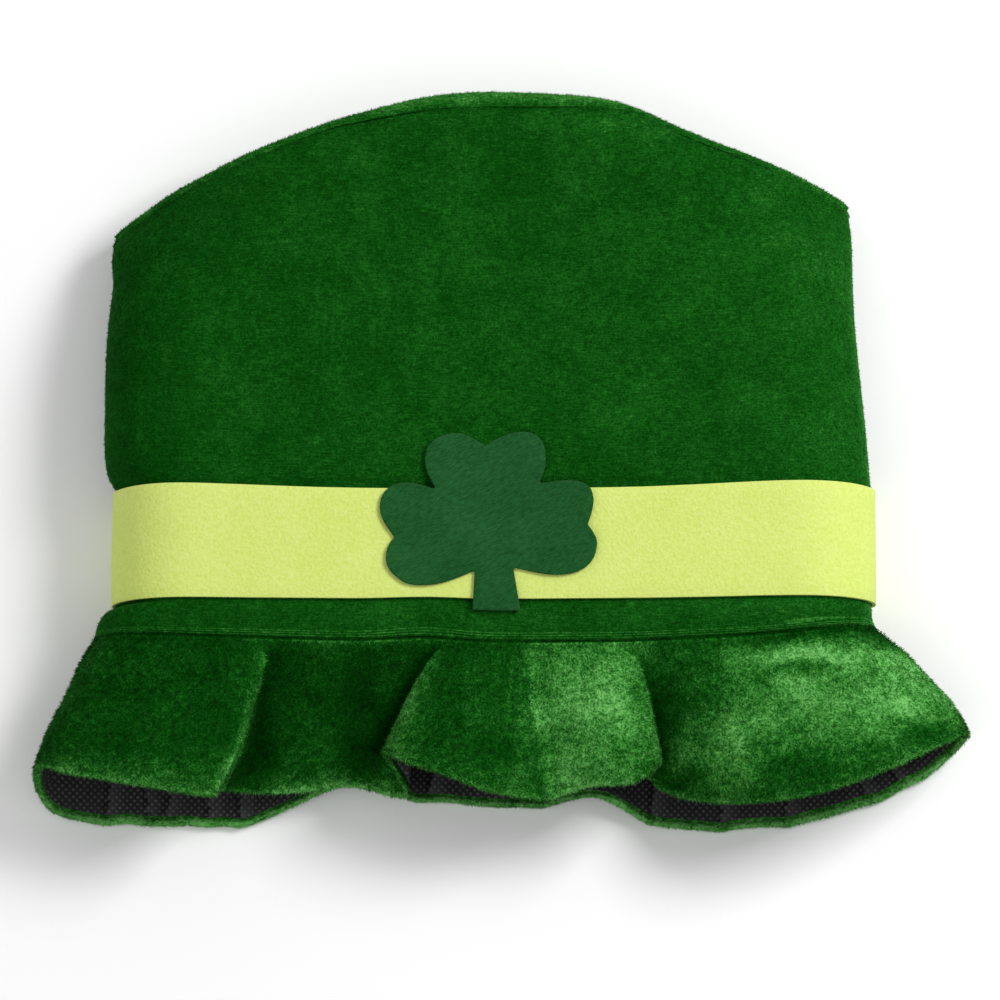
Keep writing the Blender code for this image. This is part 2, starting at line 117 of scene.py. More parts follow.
# Hollows in the front of the crown: middle, half sizes across and along, depth
CROWN_HOLLOWS = (
    ((0.002, 0.112), 0.016, 0.024, 0.0016),
    ((0.030, 0.098), 0.020, 0.014, 0.0008),
    ((-0.095, 0.020), 0.022, 0.040, 0.0012),
    ((-0.040, 0.060), 0.050, 0.010, 0.0007),
    ((0.085, 0.045), 0.030, 0.045, 0.0011),
    ((-0.115, -0.004), 0.012, 0.022, 0.0009),
)

# Marks brushed into the crown's pile, with painted shade down its left flank, painted light down its right
# flank and a darker mark over the top hollow: middle, half sizes across and along, change of its lay
CROWN_MARKS = (
    ((0.004, 0.108), 0.013, 0.024, -0.05),
    ((-0.128, 0.030), 0.020, 0.080, -0.05),
    ((0.122, 0.040), 0.028, 0.080, 0.03),
    ((-0.110, 0.029), 0.018, 0.006, 0.05),
    ((0.034, 0.1245), 0.030, 0.0055, 0.09),
    ((-0.020, 0.1260), 0.020, 0.0040, 0.04),
    ((-0.045, -0.0620), 0.012, 0.0030, 0.08),
    ((0.012, -0.0630), 0.016, 0.0030, 0.08),
    ((0.100, -0.0600), 0.020, 0.0030, 0.06),
)


def only(piece):
    """Leave just this piece selected and active."""
    bpy.ops.object.select_all(action="DESELECT")
    piece.select_set(True)
    bpy.context.view_layer.objects.active = piece


def copy_of_wall(node, name):
    """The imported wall's mesh as a new piece, merged and back in quads."""
    piece = bpy.data.objects.new(name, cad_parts[node].data.copy())
    bpy.context.collection.objects.link(piece)
    piece.data.materials.clear()
    only(piece)
    if piece.data.has_custom_normals:
        bpy.ops.mesh.customdata_custom_splitnormals_clear()
    bpy.ops.object.mode_set(mode="EDIT")
    bpy.ops.mesh.select_all(action="SELECT")
    bpy.ops.mesh.remove_doubles(threshold=WELD)
    bpy.ops.mesh.tris_convert_to_quads(face_threshold=QUAD_ANGLE, shape_threshold=QUAD_ANGLE)
    bpy.ops.object.mode_set(mode="OBJECT")
    bpy.ops.object.shade_smooth()
    return piece


def surface_of(node):
    """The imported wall's surface, to find the nearest place on it."""
    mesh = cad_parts[node].data
    corners = [v.co for v in mesh.vertices]
    return BVHTree.FromPolygons(corners, [tuple(p.vertices) for p in mesh.polygons])


def sew_to(piece, surface):
    """Pull a wall's rim up to the wall that it is sewn to, and tell which vertices lie on the rim."""
    at_rim = []
    for vertex in piece.data.vertices:
        place = surface.find_nearest(vertex.co, SEAM_REACH)[0]
        at_rim.append(place is not None)
        if place is not None:
            vertex.co += (place - vertex.co) * SEAM_CLOSED
    return at_rim


def hold_rim(piece, at_rim):
    """Crease the edges along a sewn rim, so that smoothing leaves the rim where it is sewn."""
    creases = piece.data.attributes.get("crease_edge")
    if creases is None:
        creases = piece.data.attributes.new("crease_edge", "FLOAT", "EDGE")
    for edge in piece.data.edges:
        if all(at_rim[v] for v in edge.vertices):
            creases.data[edge.index].value = SEAM_CREASE


def ease_corners(piece, at_rim):
    """Draw in the rim at the two top corners, where smoothing draws in the cloth beside it."""
    for vertex, sewn in zip(piece.data.vertices, at_rim):
        beyond = abs(vertex.co.x) - CORNER_FROM
        if sewn and beyond > 0:
            vertex.co.x -= math.copysign(CORNER_EASE * min(1, beyond / CORNER_FADE), vertex.co.x)


def hold_step(piece, levels):
    """Crease the rows where a wall steps in under the band, so that smoothing keeps it off the band."""
    creases = piece.data.attributes["crease_edge"]
    corners = piece.data.vertices
    for edge in piece.data.edges:
        one, other = (corners[v].co for v in edge.vertices)
        row = (one.y + other.y) / 2
        by_step = min(abs(row - level) for level in levels) < STEP_REACH
        if by_step and abs(one.y - other.y) < (one - other).length / LEVEL_PART:
            creases.data[edge.index].value = 1


def finish_with(piece, kind, **settings):
    """Add a modifier with these settings and apply it."""
    modifier = piece.modifiers.new("Finish", kind)
    for name, value in settings.items():
        setattr(modifier, name, value)
    only(piece)
    bpy.ops.object.modifier_apply(modifier=modifier.name)


def hollow_at(point, hollows, firmness=1):
    """Sum of the hollows or marks of a table at a point of the front; firm ones have steep rims."""
    total = 0
    for (x, y), across, up, amount in hollows:
        away = ((point.x - x) / across) ** 2 + ((point.y - y) / up) ** 2
        if away < HOLLOW_ENDS:
            total += amount * math.exp(-(away**firmness))
    return total


def soften(piece, swell, grain, hollows=(), held=None):
    """Press the soft unevenness of cloth into a piece, with the hollows of its front."""
    mesh = piece.data
    normals = [v.normal.copy() for v in mesh.vertices]
    for vertex, normal in zip(mesh.vertices, normals):
        place = vertex.co
        lift = swell * noise.noise(place * SWELL_SCALE)
        lift += grain * noise.noise(place * GRAIN_SCALE + GRAIN_SHIFT)
        free = 1 if held is None else held(place)
        vertex.co = place + normal * lift * free
        if hollows and place.z > cad_box[1].z / 2:
            vertex.co.z -= hollow_at(place, hollows) * free
        vertex.co.z = max(0, vertex.co.z)
    mesh.update()


def set_lay(piece, lay_at):
    """Store how far the pile is brushed over at each vertex, with any painted light and shade that the lay
    function adds: 0 stands up dark, 1 lies over bright.
    """
    lay = piece.data.attributes.new("lay", "FLOAT", "POINT")
    for vertex in piece.data.vertices:
        lay.data[vertex.index].value = lay_at(vertex.co, vertex.normal)


def add(tree, kind, values, **settings):
    """Outputs of a new shader node, with its inputs set or linked and its own settings."""
    made = tree.nodes.new("ShaderNode" + kind)
    for name, value in settings.items():
        setattr(made, name, value)
    for name, value in values.items():
        if isinstance(value, bpy.types.NodeSocket):
            tree.links.new(value, made.inputs[name])
        else:
            made.inputs[name].default_value = value
    return made.outputs


def new_material(name):
    """A new material, its node tree and its shader."""
    made = bpy.data.materials.new(name)
    made.use_nodes = True
    return made, made.node_tree, made.node_tree.nodes["Principled BSDF"]


def stretched(tree, place, scale, turn=0):
    """Object coordinates stretched along each axis, for fibres and rows that run one way."""
    values = {"Vector": place, "Scale": scale, "Rotation": (0, 0, turn)}
    return add(tree, "Mapping", values, vector_type="TEXTURE" if turn else "POINT")[0]


def uneven(tree, place, scale, detail, amount):
    """Noise about zero, as a share added to another value."""
    cloud = add(tree, "TexNoise", {"Vector": place, "Scale": scale, "Detail": detail})[0]
    centred = add(tree, "Math", {0: cloud, 1: 0.5}, operation="SUBTRACT")[0]
    return add(tree, "Math", {0: centred, 1: amount}, operation="MULTIPLY")[0]


def total_of(tree, first, *others):
    """Sum of shader values."""
    for other in others:
        first = add(tree, "Math", {0: first, 1: other}, operation="ADD")[0]
    return first


def dress(tree, shader, colour, heights, relief, finish):
    """Give a shader its colour, the relief of its heights and its finish."""
    bump = add(tree, "Bump", {"Height": heights, "Strength": 1, "Distance": relief})[0]
    tree.links.new(colour, shader.inputs["Base Color"])
    tree.links.new(bump, shader.inputs["Normal"])
    for name, value in finish.items():
        shader.inputs[name].default_value = value


def ribs_by_seam(tree):
    """Fine light ribs of pressed pile along a seam, from the attribute that tells how near it is."""
    near = add(tree, "Attribute", {}, attribute_name="seam")["Fac"]
    turns = add(tree, "Math", {0: near, 1: math.tau * RIBBED_STRIP / RIB_PITCH}, operation="MULTIPLY")[0]
    wave = add(tree, "Math", {0: turns}, operation="SINE")[0]
    rib = add(tree, "Math", {0: wave, 1: RIB_LIGHT}, operation="MULTIPLY")[0]
    lifted = add(tree, "Math", {0: rib, 1: RIB_RISE}, operation="ADD")[0]
    inside = add(tree, "Math", {0: near, 1: RIBBED_FROM}, operation="GREATER_THAN")[0]
    return add(tree, "Math", {0: lifted, 1: inside}, operation="MULTIPLY")[0]


def velour(name, patches, clumps, grain, rows, relief):
    """Green velour: mottled pile over a knit whose rows run across the hat."""
    made, tree, shader = new_material(name)
    place = add(tree, "TexCoord", {})["Object"]
    # The lay attribute holds the nap with painted light and shade added in places, and the fold attribute
    # the painted light and shadow beside the brim's overlapping lobes, with one line of nap
    brushed = add(tree, "Attribute", {}, attribute_name="lay")["Fac"]
    fold_shading_and_nap = add(tree, "Attribute", {}, attribute_name="fold_light_shade_and_nap")["Fac"]
    lay = total_of(tree, brushed, fold_shading_and_nap, ribs_by_seam(tree))
    courses = stretched(tree, place, ROWS_OF_KNIT)
    fine = uneven(tree, place, GRAIN_OF_PILE, detail=2, amount=grain)
    small = uneven(tree, place, CLUMP_SCALE, detail=3, amount=clumps)
    knit = uneven(tree, courses, scale=1, detail=1, amount=rows)
    wide = uneven(tree, place, PATCH_SCALE, detail=3, amount=patches)
    mottle = total_of(tree, wide, small, fine, knit)
    by_lay = {0: lay, 1: MOTTLE_BY_LAY, 2: MOTTLE_LEAST}
    spread = add(tree, "Math", by_lay, operation="MULTIPLY_ADD")[0]
    mottle = add(tree, "Math", {0: mottle, 1: spread}, operation="MULTIPLY")[0]
    depth = total_of(tree, lay, mottle)
    ramp = add(tree, "ValToRGB", {"Fac": depth})
    stops = ramp[0].node.color_ramp.elements
    while len(stops) < len(PILE_COLOURS):
        stops.new(0.5)
    for stop, (position, colour) in zip(stops, PILE_COLOURS):
        stop.position = position
        stop.color = colour
    dress(tree, shader, ramp[0], total_of(tree, small, fine, knit), relief, VELOUR_FINISH)
    return made


def faces_in(place, normal):
    """Whether a face of the crown's wall looks into the hat."""
    middle = cad_box[1].z / 2
    return normal.z * (place.z - middle) + normal.x * place.x * SIDE_TURN < 0


def crown_lay(place, normal):
    """Lay of the crown's pile: even, with painted light rising towards its right side and on its right
    flank, and the brushed marks on its front, among them painted shade and light.
    """
    if faces_in(place, normal):
        return LINED_LAY
    # Painted light, growing towards the crown's right side
    lay = CROWN_LAY + CROWN_PAINTED_LIGHT_RISE * place.x / cad_box[1].x
    lay += CROWN_LAY_DRIFT * noise.noise(place * CROWN_DRIFT_SCALE)
    # The marks on the front hold painted shade and light on the crown's flanks as well as its nap
    if normal.z > 0:
        lay += hollow_at(place, CROWN_MARKS)
    # Painted light on the crown's right flank, where its wall turns on edge
    if place.x > 0:
        lay += RIGHT_SIDE_PAINTED_LIGHT * max(0, 1 - 2 * abs(normal.z))
    return lay


brim_surface = surface_of("brim")
top_surface = surface_of("crown_top")
crown = copy_of_wall("crown_side", "crown_velour_wall")
sewn_below = sew_to(crown, brim_surface)
sewn_above = sew_to(crown, top_surface)
hold_rim(crown, [a or b for a, b in zip(sewn_below, sewn_above)])
ease_corners(crown, sewn_above)
band_low, band_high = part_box("hat_band")
hold_step(crown, (band_low.y, band_high.y))
finish_with(crown, "SUBSURF", levels=CROWN_FINENESS, render_levels=CROWN_FINENESS)


def clear_of_band(place):
    """How free the crown's wall is to move: not under the band, nor at its seams."""
    off_middle = abs(place.y - (band_low.y + band_high.y) / 2)
    free = max(0, min(1, (off_middle - HELD_HALF) / HELD_FADE))
    return free * (place.y > band_low.y)


soften(crown, swell=0.0006, grain=0.00012, hollows=CROWN_HOLLOWS, held=clear_of_band)
set_lay(crown, crown_lay)
nearness = crown.data.attributes.new("seam", "FLOAT", "POINT")
for vertex in crown.data.vertices:
    if vertex.normal.z > 0 and not faces_in(vertex.co, vertex.normal):
        away = brim_surface.find_nearest(vertex.co, 2 * RIBBED_STRIP)[3]
        nearness.data[vertex.index].value = 0 if away is None else max(0, 1 - away / RIBBED_STRIP)
crown_cloth = velour("crown_velour", patches=0.24, clumps=0.32, grain=0.52, rows=0.34, relief=0.0005)
crown.data.materials.append(crown_cloth)
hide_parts("crown_side")
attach(crown, "root")

# Top of the crown
# An oval panel of the same velour, sewn round the top of the tube. The flattened hat folds
# it inwards between its front and back, so that only a lip of it shows above the seam.
PANEL_LAY = 0.43
LIP_NAP_AND_PAINTED_SHEEN = 0.66
LIP_HALF = 0.036
LIP_FADE = 0.024
LIP_LEAST = 0.3
LIP_DRIFT = 0.008
LIP_DRIFT_SCALE = 50
LIP_TURN = 1.5
PANEL_UNEVEN = 0.10
PANEL_UNEVEN_SCALE = 90


def lip_lay(place, normal):
    """Lay of the top panel's pile, brushed over in the middle, where its lip rolls out, and lighter where
    the lip turns to face up the hat: partly nap, partly painted sheen.
    """
    # Painted sheen in part: the lip is lighter the more it faces up the hat
    turned = max(0, normal.y) ** LIP_TURN
    drift = LIP_DRIFT * noise.noise(place * LIP_DRIFT_SCALE)
    middle = max(LIP_LEAST, min(1, (LIP_HALF + LIP_FADE - abs(place.x) + drift) / LIP_FADE))
    lay = PANEL_LAY + (LIP_NAP_AND_PAINTED_SHEEN - PANEL_LAY) * turned * middle
    return lay + PANEL_UNEVEN * noise.noise(place * PANEL_UNEVEN_SCALE)


top = copy_of_wall("crown_top", "top_velour_panel")
crown_surface = surface_of("crown_side")
sewn_to_crown = sew_to(top, crown_surface)
hold_rim(top, sewn_to_crown)
ease_corners(top, sewn_to_crown)
finish_with(top, "SUBSURF", levels=2, render_levels=2)
soften(top, swell=0.0003, grain=0.0001)
set_lay(top, lip_lay)
top_cloth = velour("top_velour", patches=0.24, clumps=0.36, grain=0.56, rows=0.34, relief=0.0005)
top.data.materials.append(top_cloth)
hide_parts("crown_top")
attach(top, "root")

# Band
# A strip of needled felt, lime yellow, cut with plain edges and glued flat round the crown
# just above the brim. Its fibres lie every way and its cut edges are slightly rounded.
BAND_CUT = (0.042, 0.61)
BAND_FIBRES = (900, 900, 900)
BAND_COLOUR = (0.535, 0.645, 0.132, 1)
BAND_PALE = (0.620, 0.715, 0.205, 1)
EDGE_ROUND = 0.00025
EDGE_CLEAR = 0.0003
ROUNDED_FROM = math.radians(50)
CUT_FROM = math.radians(60)
MATTING_SCALE = 520
FELT_CLOUD_SCALE = 40
FELT_FINISH = {"Roughness": 0.95, "Specular IOR Level": 0.08, "Sheen Weight": 0.05}


def blend(tree, share, low, high):
    """Colour between two others by share."""
    mixer = add(tree, "Mix", {}, data_type="RGBA", clamp_factor=True)[2].node
    tree.links.new(share, mixer.inputs[0])
    mixer.inputs[6].default_value = low
    mixer.inputs[7].default_value = high
    return mixer.outputs[2]


def felt(name, low, high, fibre_scale, turn, relief):
    """Needled felt: matted fibres of one colour, a little lighter where they stand up."""
    made, tree, shader = new_material(name)
    place = add(tree, "TexCoord", {})["Object"]
    along = stretched(tree, place, fibre_scale, turn)
    fibres = uneven(tree, along, scale=1, detail=4, amount=2.2)
    matting = uneven(tree, place, MATTING_SCALE, detail=4, amount=1.0)
    clouds = uneven(tree, place, FELT_CLOUD_SCALE, detail=3, amount=0.9)
    shade = total_of(tree, 0.5, fibres, matting, clouds)
    mixed = blend(tree, shade, low, high)
    dress(tree, shader, mixed, total_of(tree, fibres, matting), relief, FELT_FINISH)
    return made


def hold_cut_edges(piece):
    """Crease a strip's sharp edges, so that it stays a flat strip when smoothed along its length."""
    creases = piece.data.attributes.new("crease_edge", "FLOAT", "EDGE")
    faces_of = {}
    for face in piece.data.polygons:
        for key in face.edge_keys:
            faces_of.setdefault(key, []).append(face.normal)
    for edge in piece.data.edges:
        sides = faces_of.get(edge.key, [])
        if len(sides) == 2 and sides[0].angle(sides[1]) > CUT_FROM:
            creases.data[edge.index].value = 1


band = copy_of_wall("hat_band", "felt_band")
hold_cut_edges(band)
finish_with(band, "SUBSURF", levels=3, render_levels=3)
for corner in band.data.vertices:
    off_middle = (corner.co.y - (band_low.y + band_high.y) / 2) / (BAND_CUT[0] / 2)
    corner.co.y -= EDGE_CLEAR * off_middle
finish_with(band, "BEVEL", width=EDGE_ROUND, segments=2, limit_method="ANGLE", angle_limit=ROUNDED_FROM)
soften(band, swell=0.0001, grain=0.00004)
band_felt = felt("band_felt", BAND_COLOUR, BAND_PALE, BAND_FIBRES, turn=0, relief=0.00014)
band.data.materials.append(band_felt)
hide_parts("hat_band")
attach(band, "root")

# Shamrock
# Three heart-shaped leaves and a stem, cut out of one sheet of dark green felt and glued by
# the middle to the front of the band, with the rims of the leaves a little off it.
SHAMROCK_CUT = (0.081, 0.068)
SHAMROCK_VOXEL = 0.00042
LEAF_LIFT = 0.0007
LIFT_MEAN = 0.6
LIFT_DRIFT = 0.8
LIFT_DRIFT_SCALE = 30
SHAMROCK_LOW = (0.0040, 0.055, 0.0090, 1)
SHAMROCK_HIGH = (0.0160, 0.108, 0.0260, 1)
SHAMROCK_FIBRES = (0.0026, 0.00040, 0.0026)
FIBRE_SLANT = math.radians(28)

shamrock = copy_of_wall("shamrock", "felt_shamrock")
finish_with(shamrock, "REMESH", mode="VOXEL", voxel_size=SHAMROCK_VOXEL, use_smooth_shade=True)
leaf_low, leaf_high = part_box("shamrock")
leaf_middle = (leaf_low + leaf_high) / 2
for corner in shamrock.data.vertices:
    off = (corner.co - leaf_middle).xy.length / (SHAMROCK_CUT[0] / 2)
    share = LIFT_MEAN + LIFT_DRIFT * noise.noise(corner.co * LIFT_DRIFT_SCALE)
    corner.co.z += LEAF_LIFT * off**2 * share
shamrock.data.update()
shamrock_felt = felt(
    "shamrock_felt", SHAMROCK_LOW, SHAMROCK_HIGH, SHAMROCK_FIBRES, turn=FIBRE_SLANT, relief=0.0003
)
shamrock.data.materials.append(shamrock_felt)
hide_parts("shamrock")
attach(shamrock, "root")

# Brim
# A ring of velour with a longer pile, sewn to the lower edge of the crown and turned in at
# its hem over the lining. It ruffles into three lobes, and its nap is brushed both ways. Painted
# light lies along its ridges, lobe edges and hem, and painted shade in its hollows and beside
# the lobes that overlap.
BRIM_LAY = 0.30
HEM_NAP_AND_PAINTED_LIGHT = 0.88
FRONT_HEM = 0.38
BEND_PAINTED_LIGHT_AND_SHADE = 0.30
SHARP_BEND = 110
SEAM_SHADE = 0.10
BACK_BELOW = 0.45
BACK_FADE = 0.010
FOLD_START = 0.0025

# Rows of the brim's faces, counted from the brim seam, and how far each belongs to the hem
HEM_ROWS = {6: 0.5, 7: 0.8, 8: 1, 9: 1}

# Lines where one lobe lies over the next, with a painted highlight along the upper lobe's edge
# and painted shadow in the strip beside it, and one where the nap turns sharply: places along the
# line, the lighter side, how wide and light its edge is, how wide and dark the strip beside it
FOLD_LIGHT_SHADE_AND_NAP_LINES = (
    (
        ((-0.0881, -0.0755), (-0.0864, -0.0798), (-0.0889, -0.0887), (-0.0984, -0.1120), (-0.1061, -0.1304)),
        -1,
        (0.0022, 0.26),
        (0.0110, 0.17),
    ),
    (
        ((-0.0215, -0.0755), (-0.0278, -0.0820), (-0.0341, -0.0929), (-0.0411, -0.1062), (-0.0440, -0.1125)),
        1,
        (0.0052, 0.30),
        (0.0050, 0.28),
    ),
    (
        ((0.0459, -0.0753), (0.0516, -0.0796), (0.0546, -0.0884), (0.0568, -0.0973), (0.0604, -0.1150)),
        -1,
        (0.0025, 0.08),
        (0.0045, 0.16),
    ),
    (
        ((0.0105, -0.0755), (0.0112, -0.0880), (0.0118, -0.1000), (0.0150, -0.1120), (0.0168, -0.1310)),
        1,
        (0.0080, 0.10),
        (0.0050, 0.08),
    ),
)

# Nap of the front of the brim, with a few marks of painted shade beside the folds: middle, half sizes across
# and along, change of its lay
BRIM_MARKS = (
    ((0.0325, -0.100), 0.0240, 0.0460, 0.42),
    ((0.0820, -0.1150), 0.0240, 0.0140, 0.36),
    ((0.1290, -0.0930), 0.0500, 0.0235, 0.42),
    ((0.0960, -0.0760), 0.0200, 0.0080, 0.20),
    ((0.1210, -0.0755), 0.0240, 0.0055, 0.20),
    ((0.1580, -0.0880), 0.0160, 0.0160, 0.12),
    ((0.0690, -0.0850), 0.0140, 0.0140, 0.03),
    ((0.0980, -0.1110), 0.0065, 0.0050, -0.26),
    ((0.1050, -0.1200), 0.0120, 0.0030, -0.14),
    ((0.1630, -0.1080), 0.0160, 0.0050, -0.24),
    ((0.0620, -0.1230), 0.0130, 0.0050, -0.24),
    ((0.1100, -0.0830), 0.0160, 0.0030, -0.22),
    ((-0.1450, -0.1230), 0.0320, 0.0080, 0.09),
    # Painted shade in the valley beside the first and second folds, and at a short fold in the hem
    ((-0.0900, -0.1100), 0.0060, 0.0250, -0.10),
    ((-0.0520, -0.1050), 0.0080, 0.0220, -0.12),
    ((0.0180, -0.1150), 0.0030, 0.0130, -0.10),
)

# Unevenness of the nap, and how far the rims of its marks stray: amount, scale
NAP_DRIFTS = ((0.08, 70), (0.06, 30))
MARK_DRIFTS = ((0.004, 110), (0.002, 320))
DRIFT_SEED = 1

# The noise that strays has to start from a seed of its own, or it would differ in each run
noise.seed_set(DRIFT_SEED)


def rows_from(piece, at_start):
    """How many rows of faces lie between each vertex and the first ones."""
    beyond = {}
    for a, b in piece.data.edge_keys:
        beyond.setdefault(a, []).append(b)
        beyond.setdefault(b, []).append(a)
    rows = [0 if first else None for first in at_start]
    front = [i for i, first in enumerate(at_start) if first]
    while front:
        reached = []
        for i in front:
            for j in beyond[i]:
                if rows[j] is None:
                    rows[j] = rows[i] + 1
                    reached.append(j)
        front = reached
    return rows


def bends_of(piece, rounds):
    """How sharply a piece bends at each vertex, per metre: above 0 on a ridge, below 0 in a hollow."""
    mesh = piece.data
    count = len(mesh.vertices)
    places = np.empty(count * 3)
    normals = np.empty(count * 3)
    ends = np.empty(len(mesh.edges) * 2, np.int32)
    mesh.vertices.foreach_get("co", places)
    mesh.vertices.foreach_get("normal", normals)
    mesh.edges.foreach_get("vertices", ends)
    places = places.reshape(-1, 3)
    normals = normals.reshape(-1, 3)
    one, other = ends.reshape(-1, 2).T
    way = places[other] - places[one]
    apart = (way**2).sum(1)
    neighbours = np.bincount(ends, minlength=count)
    bend = np.bincount(other, (way * normals[other]).sum(1) / apart, count)
    bend -= np.bincount(one, (way * normals[one]).sum(1) / apart, count)
    bend /= neighbours
    for _ in range(rounds):
        around = np.bincount(one, bend[other], count) + np.bincount(other, bend[one], count)
        bend = (bend + around) / (1 + neighbours)
    return bend


def fold_light_shade_and_nap_at(place):
    """Painted highlight and shadow on each side of the lines where the lobes overlap, and the change of the
    nap's lay across the line where it turns.
    """
    total = 0
    for line, side, (edge_width, edge), (hollow_width, hollow) in FOLD_LIGHT_SHADE_AND_NAP_LINES:
        top = line[0][1]
        end = line[-1][1]
        if not end < place.y < top:
            continue
        across = np.interp(-place.y, [-y for x, y in line], [x for x, y in line])
        away = side * (place.x - across)
        share = min(1, (top - place.y) / FOLD_START)
        if away > 0:
            total += share * edge * math.exp(-((away / edge_width) ** 2))
        else:
            total -= share * hollow * math.exp(-((away / hollow_width) ** 2))
    return total


def brim_lay(place, normal):
    """Lay of the brim's nap, with its bright and dark patches on the front, among them painted shade beside
    the first two folds.
    """
    lay = BRIM_LAY
    for amount, scale in NAP_DRIFTS:
        lay += amount * noise.noise(place * scale)
    if normal.z > 0:
        drift = Vector()
        for amount, scale in MARK_DRIFTS:
            drift += noise.noise_vector(place * scale) * amount
        lay += hollow_at(place + drift, BRIM_MARKS, firmness=2)
    return lay


brim = copy_of_wall("brim", "brim_velour_wall")
at_seam = sew_to(brim, crown_surface)
hem = brim.data.attributes.new("hem", "FLOAT", "POINT")
for i, row in enumerate(rows_from(brim, at_seam)):
    hem.data[i].value = HEM_ROWS.get(row, 0)
hold_rim(brim, at_seam)
finish_with(brim, "SUBSURF", levels=2, render_levels=2)
soften(brim, swell=0.0004, grain=0.00015)
set_lay(brim, brim_lay)
hem = brim.data.attributes["hem"]
lay = brim.data.attributes["lay"]
fold_light_shade_and_nap = brim.data.attributes.new("fold_light_shade_and_nap", "FLOAT", "POINT")
for i, bend in enumerate(bends_of(brim, rounds=3)):
    vertex = brim.data.vertices[i]
    if vertex.normal.z > 0:
        fold_light_shade_and_nap.data[i].value = fold_light_shade_and_nap_at(vertex.co)
    at_back = max(0, min(1, (BACK_BELOW * cad_box[1].z - vertex.co.z) / BACK_FADE))
    # The hem is painted lighter, partly for its turned nap and partly as painted highlight, less on the
    # front hem than on the back rim
    turned = hem.data[i].value * (FRONT_HEM + (1 - FRONT_HEM) * at_back)
    value = lay.data[i].value
    # Painted highlight on the brim's ridges and painted shade in its hollows, from how sharply it bends
    value += BEND_PAINTED_LIGHT_AND_SHADE * max(-1, min(1, bend / SHARP_BEND)) * (1 - turned)
    value += (HEM_NAP_AND_PAINTED_LIGHT - value) * turned
    if crown_surface.find_nearest(vertex.co, SEAM_REACH)[0] is not None:
        value = SEAM_SHADE
    lay.data[i].value = value
brim_cloth = velour("brim_velour", patches=0.44, clumps=0.56, grain=0.76, rows=0.0, relief=0.0008)
brim.data.materials.append(brim_cloth)
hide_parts("brim")
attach(brim, "root")

# Brim lining
# A ring of black nonwoven cloth under the brim, embossed all over with a small diagonal grid
# of dots, creased where the brim ruffles and held along its edge by the turned hem. Each crease
# has painted shade in a narrow line on one side and a painted lit facet fading away on the other,
# and the dots are painted lighter as highlights.
DOT_PITCH = 0.0019
CREASE_WIDTH = 0.0014
CREASE_HEIGHT = 0.0012
CREASE_FROM = 0.002
CREASE_RISE = 0.006
CREASE_SHADE = 1.5
CREASE_FACET = 0.0070
CREASED_BELOW = 0.4
DOT_RIM = (0.36, 0.22)
DOT_LIGHT = 0.50
DOT_RELIEF = 0.00015
LEVEL_FROM = 0.6
STRAND_SCALE = 1600
LINING_CLOUD_SCALE = 160
LINING_SHADE = 0.11
LINING_FINISH = {"Roughness": 0.6, "Specular IOR Level": 0.15}
CLOTH_BLACK = (0.0016, 0.0016, 0.0018, 1)
CLOTH_GREY = (0.0850, 0.0870, 0.0870, 1)
CREASE_PAINTED_LIGHT_AND_SHADE = 0.36

# Creases of the lining where it lies on the back: place across the hat, and how far each slants
LINING_CREASES = (
    (-0.1480, 0.10),
    (-0.1310, -0.12),
    (-0.1250, 0.05),
    (-0.1100, 0.02),
    (-0.0980, -0.10),
    (-0.0300, 0.25),
    (0.0160, -0.08),
    (0.0560, 0.12),
    (0.0830, 0.06),
    (0.1080, -0.06),
    (0.1430, -0.45),
    (0.1600, -0.60),
)

lining = copy_of_wall("brim_lining", "nonwoven_lining")
finish_with(lining, "SUBSURF", levels=3, render_levels=3)
crease_light_shade_at = lining.data.attributes.new("crease_light_shade", "FLOAT", "POINT")
hem_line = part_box("brim")[0].y
for corner in lining.data.vertices:
    if corner.co.z < cad_box[1].z * CREASED_BELOW:
        along = corner.co.y - hem_line
        across = [corner.co.x - x - slant * along for x, slant in LINING_CREASES]
        nearest = min(across, key=abs)
        ridge = math.exp(-((nearest / CREASE_WIDTH) ** 2))
        corner.co.z += CREASE_HEIGHT * ridge * min(1, max(0, along - CREASE_FROM) / CREASE_RISE)
        # Painted light on a facet that fades away on one side of the nearest crease, and painted shade in a
        # narrow line on its other side
        if nearest > 0:
            facet = max(0, 1 - nearest / CREASE_FACET)
        else:
            facet = -max(0, 1 + nearest / CREASE_WIDTH / CREASE_SHADE)
        crease_light_shade_at.data[corner.index].value = facet
lining.data.update()


def dot_grid(tree, place):
    """Round dots in a diagonal grid over the first two axes of a place: 1 on a dot, 0 between."""
    turned = stretched(tree, place, (DOT_PITCH, DOT_PITCH, DOT_PITCH), math.radians(45))
    cells = add(tree, "VectorMath", {0: turned}, operation="FRACTION")[0]
    centred = add(tree, "VectorMath", {0: cells, 1: (0.5, 0.5, 0.5)}, operation="SUBTRACT")[0]
    flat = add(tree, "VectorMath", {0: centred, 1: (1, 1, 0)}, operation="MULTIPLY")[0]
    away = add(tree, "VectorMath", {0: flat}, operation="LENGTH")["Value"]
    outside, inside = DOT_RIM
    edges = {"Value": away, "From Min": outside, "From Max": inside, "To Min": 0, "To Max": 1}
    return add(tree, "MapRange", edges)[0]


